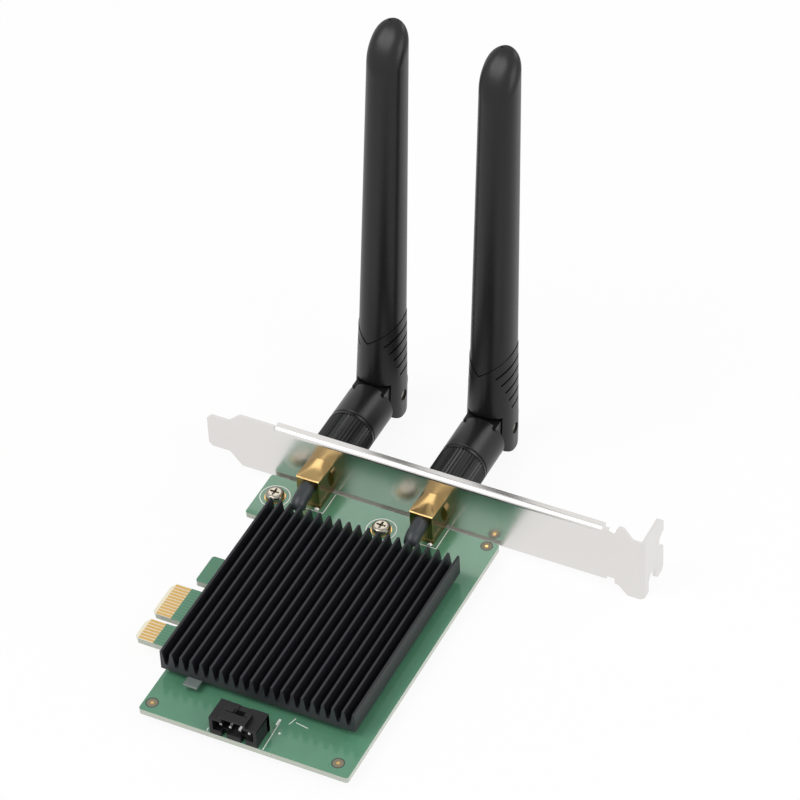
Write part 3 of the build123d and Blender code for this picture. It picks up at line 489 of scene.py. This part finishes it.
@dataclass
class BoardPrint:
    """What is printed, plated and etched on the board's faces."""

    top: float = BOARD_TOP
    ink: float = 0.03
    copper: float = 0.02
    screw_spots: tuple[Spot, ...] = ((9.1, 49.55), (38.9, 49.55))
    screw_ring: float = 3.95
    stroke: float = 0.26
    land_radius: float = 2.68
    hole_radius: float = 1.75
    fiducials: tuple[Spot, ...] = ((14.6, -25.6), (64.0, -25.0), (65.4, 54.8))
    fiducial_dot: float = 0.45
    fiducial_window: float = 1.35
    fiducial_rim: float = 1.65
    jack_x: tuple[float, ...] = JACK_X
    jack_reach: float = 4.4
    jack_front: float = 48.85
    jack_back: float = 56.2
    header_strokes: tuple[tuple[Spot, Spot, float], ...] = (
        ((45.49, -18.83), (45.82, -28.45), 0.22), ((45.2, -18.01), (45.2, -20.05), 0.63),
        ((30.89, -28.4), (30.75, -27.38), 0.22), ((47.8, -18.66), (48.47, -16.31), 0.22),
        ((49.07, -17.49), (52.53, -18.01), 0.22),
    )
    pin_mark: Spot = (47.07, -22.18)
    pin_mark_radius: float = 0.32
    track_width: float = 0.32
    contact_end: float = 5.25
    track_end: float = 13.5
    contact_rows: tuple[float, ...] = tuple(
        [1.5 + step for step in range(11)] + [-1.5 - step for step in range(7)]
    )

    def build(self) -> None:
        """Make the print of the board in order."""
        self.legend()
        self.windows()
        self.tracks()

    def legend(self) -> None:
        """White ink: rings round the screws, corners beside the jacks, strokes at the header."""
        ink = Piece("legend_ink", INK, "card", "ceramic_chip")
        high = self.top + self.ink
        for spot in self.screw_spots:
            ink.ring(spot, self.screw_ring - self.stroke, self.screw_ring, self.top, high)
        for x in self.jack_x:
            right = x + self.jack_reach
            ink.bar((right, self.jack_back), (right, self.jack_front), self.stroke, self.top, high)
            ink.bar((right, self.jack_front), (x - self.jack_reach, self.jack_front), self.stroke,
                    self.top, high)
        for start, end, width in self.header_strokes:
            ink.bar(start, end, width, self.top, high)
        ink.disc(self.pin_mark, self.pin_mark_radius, self.top, high)
        ink.finish_up()

    def windows(self) -> None:
        """Openings in the mask: fiducials and the lands under the screw heads."""
        rims = Piece("fiducial_rims", MASK_RIM, "card", "dark_laminate")
        floors = Piece("fiducial_windows", LAMINATE, "card", "bare_laminate")
        dots = Piece("fiducial_dots", CONTACT_GOLD, "card", "gold_plate")
        lands = Piece("screw_lands", CONTACT_GOLD, "card", "gold_plate")
        for spot in self.fiducials:
            rims.ring(spot, self.fiducial_window, self.fiducial_rim, self.top, self.top + 0.012)
            floors.disc(spot, self.fiducial_window, self.top, self.top + 0.006)
            dots.disc(spot, self.fiducial_dot, self.top, self.top + self.copper)
        for spot in self.screw_spots:
            lands.ring(spot, self.hole_radius, self.land_radius, self.top, self.top + self.copper)
            lands.ring(spot, self.hole_radius, self.land_radius, -self.top - self.copper, -self.top)
        for piece in (rims, floors, dots, lands):
            piece.finish_up()

    def tracks(self) -> None:
        """Copper tracks under the mask that run inwards from the contacts."""
        tracks = Piece("contact_tracks", TRACK_MASK, "card", "solder_mask")
        for face in Face:
            inner = face.value * self.top
            outer = face.value * (self.top + self.copper)
            for row in self.contact_rows:
                tracks.bar((self.contact_end, row), (self.track_end, row), self.track_width,
                           min(inner, outer), max(inner, outer))
        tracks.finish_up()


@dataclass
class SolderJoints:
    """Solder that holds the jacks and the header."""

    top: float = BOARD_TOP
    jack_x: tuple[float, ...] = JACK_X
    jack_middle: float = 53.2
    jack_front: float = 49.95
    leg_reach: float = 2.54
    pin_x: tuple[float, ...] = (34.34, 36.88, 39.42, 41.96)
    pin_y: float = -21.12
    fillet_reach: float = 2.3

    def build(self) -> None:
        """Make the mounds on the underside and the fillets in front of the jacks."""
        under = Piece("solder_mounds", SOLDER, "card", "tinned_pin")
        for x in self.jack_x:
            for across in (-self.leg_reach, self.leg_reach):
                for along in (-self.leg_reach, self.leg_reach):
                    under.dome((x + across, self.jack_middle + along), 1.1, -0.7, -self.top)
            under.dome((x, self.jack_middle), 0.9, -0.6, -self.top)
        for x in self.pin_x:
            under.dome((x, self.pin_y), 0.95, -0.7, -self.top)
        under.finish_up(smooth=True)
        fillets = Piece("solder_fillets", SOLDER, "card", "tinned_pin")
        for x in self.jack_x:
            for across in (-self.fillet_reach, self.fillet_reach):
                fillets.dome((x + across, self.jack_front - 0.05), 0.75, 0.45, self.top)
        fillets.finish_up(smooth=True)


@dataclass
class SupportPad:
    """Thin pad that hangs under the sink's front edge, its own front edge rolled over."""

    thickness: float = 0.45
    roll: float = 0.3

    def build(self) -> None:
        """Make the pad at the top of the solid that it stands for."""
        low, high = (tuple(part / MM for part in corner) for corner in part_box("support_pad"))
        pad = Piece("support_pad_sheet", SILICONE, "card", "silicone_pad")
        place = Matrix.Translation(
            ((low[0] + high[0]) / 2, (low[1] + high[1]) / 2, high[2] - self.thickness / 2)
        )
        size = Matrix.Diagonal((high[0] - low[0], high[1] - low[1], self.thickness, 1.0))
        bmesh.ops.create_cube(pad.mesh, size=1.0, matrix=place @ size)
        front = [line for line in pad.mesh.edges if all(vert.co.y < low[1] + MM and vert.co.z > high[2] - MM
                                                        for vert in line.verts)]
        bmesh.ops.bevel(pad.mesh, geom=front, offset=self.roll, offset_type="OFFSET", segments=5,
                        profile=0.5, affect="EDGES", material=-1)
        pad.finish_up(smooth=True, stands_for=("support_pad",))


@dataclass
class HeaderHousing:
    """Shrouded header: open front, notched floor, and a raised bridge with a latch channel behind it."""

    left: float = 31.8
    right: float = 44.5
    front: float = -28.69
    back: float = -21.94
    bottom: float = BOARD_TOP
    top: float = 6.25
    wall: float = 0.95
    floor: float = 2.35
    roof: float = 5.55
    bridge_left: float = 34.4
    bridge_right: float = 41.6
    bridge_top: float = 7.5
    bridge_roof: float = 6.9
    bridge_back: float = -24.4
    bar_back: float = -26.2
    bar_gap: float = 0.22
    channel: Spot = (37.0, 39.9)
    notches: tuple[Spot, ...] = ((34.96, 36.29), (40.14, 41.33))
    notch_back: float = -27.2
    shroud_back: float = -23.45
    edge: float = 0.12
    inset: float = 0.5
    lap: float = 0.3
    tuck: float = 0.2
    leg: float = 0.7
    # Step that keeps two faces of neighbouring blocks out of one plane.
    skin: float = 0.01

    def build(self) -> None:
        """Set the walls, floor, roof and bridge."""
        body = Piece("header_shroud", NYLON, "card", "black_nylon")
        self.walls(body)
        self.bridge(body)
        body.finish_up(stands_for=("header_housing",))

    def walls(self, body: Piece) -> None:
        """Add the side walls, back wall, notched floor and low roof.

        Args:
            body: piece that takes the blocks.
        """
        low, high, skin = self.bottom, self.top, self.skin
        for x in (self.left, self.right - self.wall):
            body.box((x, self.front, low), (x + self.wall, self.back, high - 6 * skin), self.edge)
        body.box((self.left, self.shroud_back, low), (self.right, self.back, high - self.lap), self.edge)
        inner = (self.left + self.inset, self.right - self.inset)
        body.box((inner[0], self.notch_back, low), (inner[1], self.back, self.floor), self.edge)
        edges = [inner[0], *(x for notch in self.notches for x in notch), inner[1]]
        for start, end in zip(edges[::2], edges[1::2]):
            body.box((start, self.front + 4 * skin, low + 2 * skin),
                     (end, self.notch_back + self.lap, self.floor - 2 * skin), self.edge)
        for start, end in ((self.left, self.bridge_left + self.tuck),
                           (self.bridge_right - self.tuck, self.right)):
            body.box((start, self.front + 2 * skin, self.roof), (end, self.back, high), self.edge)
        for start, end in self.beside_channel():
            body.box((start, self.bridge_back - self.lap, self.roof + 2 * skin),
                     (end, self.back - 2 * skin, high - 2 * skin), self.edge)

    def beside_channel(self) -> tuple[Spot, Spot]:
        """Return where the bridge's two halves start and end along X."""
        return (self.bridge_left, self.channel[0]), (self.channel[1], self.bridge_right)

    def bridge(self, body: Piece) -> None:
        """Add the raised bridge: its legs, front bar and the two roofs beside the channel.

        Args:
            body: piece that takes the blocks.
        """
        high, skin = self.bridge_top, self.skin
        for x in (self.bridge_left, self.bridge_right - self.leg):
            body.box((x, self.front + skin, self.roof - 2 * skin),
                     (x + self.leg, self.bridge_back, high - 3 * skin), self.edge)
        body.box((self.bridge_left, self.front, self.bridge_roof),
                 (self.bridge_right, self.bar_back, high), self.edge)
        for start, end in self.beside_channel():
            body.box((start + 2 * skin, self.bar_back + self.bar_gap, self.bridge_roof),
                     (end - 2 * skin, self.bridge_back - 2 * skin, high - 1.5 * skin), self.edge)


@dataclass
class Antenna:
    """The upper sleeve of one antenna, its gate pit, and the end of the elbow's barrel.

    The sleeve is drawn upright on the hinge axis: a tapering bar, rounder than a square, that starts
    on a V seam and ends in a tip that slopes back from the front to a rounded point.
    """

    side: Side
    middle: float
    lean: float
    toe: float
    axis_height: float = 5.785
    pivot: float = 91.95
    half_width: float = 5.869
    half_depth: float = 5.919
    taper: float = 0.011
    taper_from: float = 17.48
    squareness: float = 2.3
    seam_height: float = 19.35
    seam_apex: float = -1.5
    seam_rise: float = 0.7536
    seam_fall: float = 0.2493
    height: float = 110.65
    slope_front: float = 12.2
    slope_back: float = 1.9
    point_back: float = 0.85
    swell_front: float = 1.72
    swell_back: float = 2.2
    sides: int = 96
    walls: int = 12
    steps: int = 20
    pit: Spot = (-1.3, 3.2)
    pit_radius: float = 0.33
    pit_depth: float = 0.06
    ring_spread: float = 1.6
    barrel_radius: float = 6.42
    barrel_inner: float = 5.0
    barrel_start: float = 7.65
    barrel_end: float = 6.6
    barrel_edge: float = 0.15

    def build(self) -> None:
        """Make the sleeve, its pit and the barrel's end."""
        place = (
            Matrix.Translation((self.middle, 0, self.axis_height))
            @ Matrix.Rotation(math.radians(self.toe), 4, "Y")
            @ Matrix.Translation((0, self.pivot, 0))
            @ Matrix.Rotation(math.radians(-self.lean), 4, "X")
        )
        body = f"{self.side.value}_antenna"
        sleeve = Piece(f"{self.side.value}_sleeve", ABS, body, "antenna_black")
        self.draw_sleeve(sleeve)
        spot = min((vert for vert in sleeve.mesh.verts if vert.co.z > self.height - self.slope_front),
                   key=lambda vert: (Vector(self.pit) - vert.co.xy).length)
        # The pit's near-black colour is painted shade of a small recess; its dullness is the gate mark's own.
        pit = Piece(f"{self.side.value}_gate_pit", GATE_PIT_WITH_PAINTED_SHADE, body, "antenna_black")
        turn = spot.normal.to_track_quat("Z", "Y").to_matrix().to_4x4()
        bmesh.ops.create_cone(pit.mesh, cap_ends=True, segments=20, radius1=self.pit_radius,
                              radius2=self.pit_radius * 0.8, depth=self.pit_depth,
                              matrix=Matrix.Translation(spot.co) @ turn)
        bmesh.ops.transform(sleeve.mesh, matrix=place, verts=sleeve.mesh.verts)
        bmesh.ops.transform(pit.mesh, matrix=place, verts=pit.mesh.verts)
        sleeve.finish_up(smooth=True, stands_for=(f"{self.side.value}_blade",))
        pit.finish_up()
        self.end_barrel()

    def draw_sleeve(self, sleeve: Piece) -> None:
        """Extrude a tube ring by ring and move its rings to the sleeve's outline.

        Args:
            sleeve: piece that takes the tube.
        """
        mesh = sleeve.mesh
        bmesh.ops.create_circle(mesh, cap_ends=False, radius=1.0, segments=self.sides)
        foot = list(mesh.edges)
        rim = foot
        for _ in range(self.walls + self.steps):
            grown = bmesh.ops.extrude_edge_only(mesh, edges=rim)["geom"]
            rim = [part for part in grown if isinstance(part, bmesh.types.BMEdge)]
            fresh = [part for part in grown if isinstance(part, bmesh.types.BMVert)]
            bmesh.ops.translate(mesh, vec=(0, 0, 1), verts=fresh)
        bmesh.ops.edgeloop_fill(mesh, edges=foot)
        for vert in mesh.verts:
            vert.co = self.outline(math.atan2(vert.co.y, vert.co.x), round(vert.co.z))
        bmesh.ops.remove_doubles(mesh, verts=mesh.verts, dist=MERGE)
        bmesh.ops.recalc_face_normals(mesh, faces=mesh.faces)
        mesh.normal_update()

    def outline(self, angle: float, level: int) -> Vector:
        """Find the place of one corner of the tube.

        Args:
            angle: its angle round the tube.
            level: its ring, counted from the seam.

        Returns:
            The place on the sleeve, upright on the hinge axis.
        """
        across, along = math.cos(angle), math.sin(angle)
        full = (abs(across) ** self.squareness + abs(along) ** self.squareness) ** (-1 / self.squareness)
        fall = (self.slope_front + self.slope_back) / 2 - (self.slope_front - self.slope_back) / 2 * along
        swell = (self.swell_front + self.swell_back) / 2 - (self.swell_front - self.swell_back) / 2 * along
        rim = self.height - fall
        shrink = self.taper * (rim - self.taper_from)
        if level <= self.walls:
            x = full * across * self.half_width
            y = full * along * self.half_depth
            seam = self.seam_height + self.seam_rise * abs(x - self.seam_apex) + self.seam_fall * y
            share = level / self.walls
            high = seam + (rim - seam) * share ** self.ring_spread
            shrink = self.taper * (high - self.taper_from)
            return Vector((full * across * (self.half_width - shrink),
                           full * along * (self.half_depth - shrink), high))
        turn = math.pi / 2 * (level - self.walls) / self.steps
        reach = max(math.cos(turn), 0.0) ** (2 / swell)
        high = self.height - fall * (1 - math.sin(turn) ** (2 / swell))
        x = (self.half_width - shrink) * full * across * reach
        y = (self.half_depth - shrink) * (full * along * reach + self.point_back * (1 - reach))
        return Vector((x, y, high))

    def end_barrel(self) -> None:
        """Turn the end of the elbow's barrel, which closes up to the boot."""
        collar = Piece(f"{self.side.value}_barrel_end", ABS, f"{self.side.value}_elbow_body",
                       "antenna_black")
        start, end = self.pivot - self.barrel_start, self.pivot - self.barrel_end
        corners = [(self.barrel_inner, start), (self.barrel_radius, start),
                   (self.barrel_radius, end - self.barrel_edge),
                   (self.barrel_radius - self.barrel_edge, end), (self.barrel_inner, end)]
        verts = [collar.mesh.verts.new((self.middle, along, self.axis_height + reach))
                 for reach, along in corners]
        edges = [collar.mesh.edges.new(pair) for pair in zip(verts, verts[1:] + verts[:1])]
        bmesh.ops.spin(collar.mesh, geom=verts + edges, cent=(self.middle, 0, self.axis_height),
                       axis=(0, 1, 0), angle=math.tau, steps=self.sides, use_merge=True,
                       use_duplicate=False)
        collar.finish_up(smooth=True)


@dataclass
class Studio:
    """Pale floor, soft light and the camera of the photograph."""

    floor_height: float
    floor_reach: float = 4000.0
    azimuth: float = 27.728
    elevation: float = 42.458
    roll: float = -2.816
    lens: float = 180.47
    eye: Point = (377.35, -580.94, 698.94)
    aim: Point = (0.035, 0.05, 0.02)

    def build(self) -> None:
        """Set the floor, the light and the camera."""
        self.lay_floor()
        self.hang_lights()
        self.set_camera()

    def lay_floor(self) -> None:
        """Lay a plain pale floor that keeps a soft shadow."""
        sheet = bmesh.new()
        bmesh.ops.create_grid(sheet, x_segments=1, y_segments=1, size=self.floor_reach * MM)
        bmesh.ops.translate(sheet, vec=(0, 0, self.floor_height), verts=sheet.verts)
        data = bpy.data.meshes.new("floor")
        sheet.to_mesh(data)
        sheet.free()
        floor = bpy.data.objects.new("floor", data)
        bpy.context.scene.collection.objects.link(floor)
        paper = bpy.data.materials.new("white_paper_sweep")
        paper.use_nodes = True
        tree = paper.node_tree
        tree.nodes.clear()
        seen = self.seen_directly(tree)
        share = add_node(tree, "ShaderNodeMath", {"operation": "MULTIPLY"}, in_0=seen, in_1=0.92)
        matt = add_node(tree, "ShaderNodeBsdfDiffuse", Color=linear("#F4F4F3"))
        glow = add_node(tree, "ShaderNodeEmission", Color=linear("#FFFFFF"), Strength=1.0)
        both = add_node(tree, "ShaderNodeMixShader", in_0=share.outputs["Value"],
                        in_1=matt.outputs["BSDF"], in_2=glow.outputs["Emission"])
        add_node(tree, "ShaderNodeOutputMaterial", Surface=both.outputs["Shader"])
        data.materials.append(paper)

    def seen_directly(self, tree: bpy.types.NodeTree) -> bpy.types.NodeSocket:
        """Return a socket that is one for camera, glossy and transmission rays.

        Args:
            tree: node tree that takes the nodes.

        Returns:
            The socket of the highest of the three.
        """
        rays = add_node(tree, "ShaderNodeLightPath")
        either = add_node(tree, "ShaderNodeMath", {"operation": "MAXIMUM"},
                          in_0=rays.outputs["Is Camera Ray"], in_1=rays.outputs["Is Glossy Ray"])
        last = add_node(tree, "ShaderNodeMath", {"operation": "MAXIMUM"},
                        in_0=either.outputs["Value"], in_1=rays.outputs["Is Transmission Ray"])
        return last.outputs["Value"]

    def hang_lights(self) -> None:
        """Fill from a white surround and add soft key, rim and side lamps."""
        world = bpy.data.worlds.new("white_surround")
        bpy.context.scene.world = world
        world.use_nodes = True
        tree = world.node_tree
        tree.nodes.clear()
        level = add_node(tree, "ShaderNodeMapRange", Value=self.seen_directly(tree), To_Min=0.5, To_Max=1.0)
        surround = add_node(tree, "ShaderNodeBackground", Color=linear("#FFFFFF"),
                            Strength=level.outputs["Result"])
        add_node(tree, "ShaderNodeOutputWorld", Surface=surround.outputs["Background"])
        self.lamp("key", (-0.35, -0.45, 0.95), 0.7, 5.5)
        self.lamp("rim", (0.55, 0.7, 0.75), 0.5, 2.0)
        self.lamp("side", (0.95, -0.15, 0.45), 0.7, 3.0)

    def lamp(self, name: str, place: Point, size: float, power: float) -> None:
        """Hang one square soft lamp that looks at the card.

        Args:
            name: name of the lamp.
            place: its place in metres.
            size: side of its square in metres.
            power: power in watts.
        """
        light = bpy.data.lights.new(name, "AREA")
        light.size = size
        light.energy = power
        hung = bpy.data.objects.new(name, light)
        aim = Vector(self.aim) - Vector(place)
        hung.matrix_world = Matrix.Translation(place) @ aim.to_track_quat("-Z", "Y").to_matrix().to_4x4()
        bpy.context.scene.collection.objects.link(hung)

    def set_camera(self) -> None:
        """Stand the camera where the photograph was taken from."""
        around = math.radians(self.azimuth)
        rise = math.radians(self.elevation)
        tip = math.radians(self.roll)
        back = Vector((math.sin(around) * math.cos(rise), -math.cos(around) * math.cos(rise), math.sin(rise)))
        level = Vector((math.cos(around), math.sin(around), 0))
        upright = back.cross(level)
        right = math.cos(tip) * level + math.sin(tip) * upright
        up = math.cos(tip) * upright - math.sin(tip) * level
        lens = bpy.data.cameras.new("camera")
        lens.sensor_fit = "HORIZONTAL"
        lens.sensor_width = 36.0
        lens.lens = self.lens
        lens.clip_start = 0.01
        lens.clip_end = 20.0
        eye = bpy.data.objects.new("camera", lens)
        turn = Matrix((right, up, back)).transposed().to_4x4()
        eye.matrix_world = Matrix.Translation(Vector(self.eye) * MM) @ turn
        bpy.context.scene.collection.objects.link(eye)
        bpy.context.scene.camera = eye


def main() -> None:
    """Build the card's looks and its studio, with the floor at the solids' lowest point."""
    logging.basicConfig(level=logging.INFO, format="%(message)s")
    bpy.context.scene.view_settings.view_transform = "Standard"
    dress_solids()
    BoardPrint().build()
    SolderJoints().build()
    SupportPad().build()
    HeaderHousing().build()
    Antenna(Side.LEFT, JACK_X[0], 4.7, 1.1).build()
    Antenna(Side.RIGHT, JACK_X[1], 5.2, 0.0).build()
    Studio(floor_height=CAD_BOX[0][2]).build()


if __name__ == "__main__":
    main()
